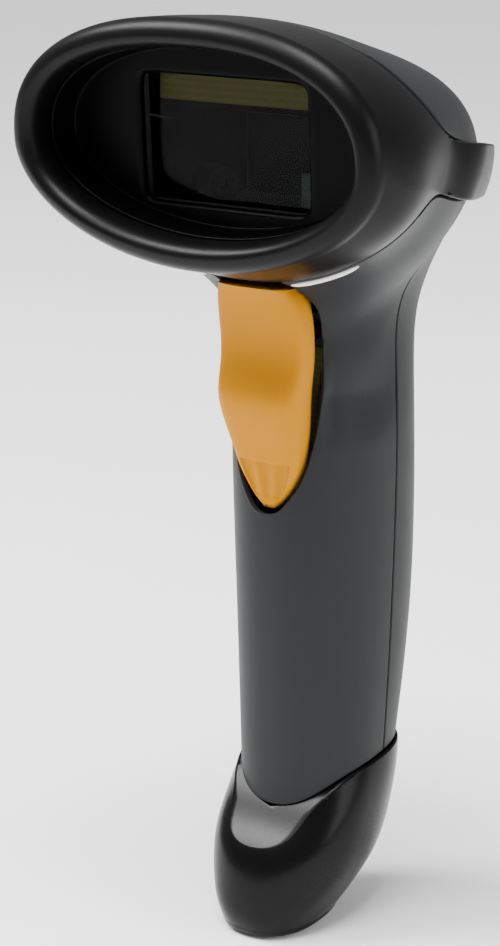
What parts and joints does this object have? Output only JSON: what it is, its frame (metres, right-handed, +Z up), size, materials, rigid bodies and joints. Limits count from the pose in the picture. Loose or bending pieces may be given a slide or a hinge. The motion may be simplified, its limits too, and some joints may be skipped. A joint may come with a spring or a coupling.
{
  "type": "handheld barcode scanner",
  "caption": "Pistol-grip laser barcode scanner: oval nose with recessed window, finger trigger, two-part shell, rubber nose bumper and boot with cable inlet.",
  "frame": {"origin": "middle of the grip, where the hand closes round the handle", "axes": "+Z up along the handle to the head, -Y out of the nose along the beam, X across"},
  "size_m": [0.0702, 0.071, 0.1527],
  "materials": {
    "charcoal_shell": "fine textured charcoal plastic",
    "black_bumper": "satin black overmould",
    "black_hood": "semi-gloss black",
    "black_boot": "smooth black",
    "amber_trigger": "satin amber orange",
    "pale_trim": "pale moulded",
    "window_glass": "smoked clear pane",
    "teal_filter": "coated optical filter",
    "steel": "bright steel",
    "zinc": "die-cast",
    "brass": "plain",
    "copper": "enamelled copper winding",
    "mirror": "front-silvered",
    "circuit_board": "olive solder mask",
    "chip": "black moulding compound",
    "flex": "amber polyimide",
    "soft_rubber": "matte"
  },
  "bodies": {
    "root": {"base_boot": "black_boot", "beeper": "chip", "board_screw_left": "steel", "board_screw_right": "steel", "cable_socket": "chip", "capacitor_left": "zinc", "capacitor_right": "zinc", "crystal": "steel", "decoder_chip": "chip", "drive_coil": "copper", "engine_board": "circuit_board", "engine_chassis": "zinc", "engine_grommet_left": "soft_rubber", "engine_grommet_right": "soft_rubber", "engine_screw_left": "steel", "engine_screw_right": "steel", "flex_ribbon": "flex", "front_shell": "charcoal_shell", "housing_screw_lower": "steel", "housing_screw_upper": "steel", "laser_module": "brass", "main_board": "circuit_board", "memory_chip": "chip", "mirror_shaft": "steel", "nose_bumper": "black_bumper", "photodiode": "chip", "photodiode_filter": "teal_filter", "rear_shell": "charcoal_shell", "scan_window": "window_glass", "seam_trim_left": "pale_trim", "seam_trim_right": "pale_trim", "socket_contacts": "brass", "trigger_pin": "steel", "trigger_spring": "steel", "trigger_switch": "chip", "window_bezel": "black_hood", "window_gasket": "soft_rubber"},
    "trigger": {"trigger": "amber_trigger"},
    "switch_plunger": {"switch_plunger": "chip"},
    "scan_mirror": {"mirror_holder": "chip", "collector_mirror": "mirror", "mirror_magnet": "steel"}
  },
  "joints": [
    {"name": "trigger_pull", "type": "hinge", "parent": "root", "child": "trigger", "pos_m": [0, -0.0128, 0.0588], "axis": [1, 0, 0], "range_deg": [0, 3.5], "stiffness_Nm_per_rad": 0.08, "springref_deg": -5.73, "deforming": ["trigger_spring"]},
    {"name": "switch_press", "type": "slide", "parent": "root", "child": "switch_plunger", "axis": [0, 1, 0], "range_m": [0, 0.0008]},
    {"name": "mirror_swing", "type": "hinge", "parent": "root", "child": "scan_mirror", "pos_m": [0, -0.005, 0.076], "axis": [0, 0, 1], "range_deg": [-7, 7], "stiffness_Nm_per_rad": 0.0002}
  ],
  "couplings": [
    {"joint": "switch_press", "follows": "trigger_pull", "m_per_rad": 0.012}
  ]
}
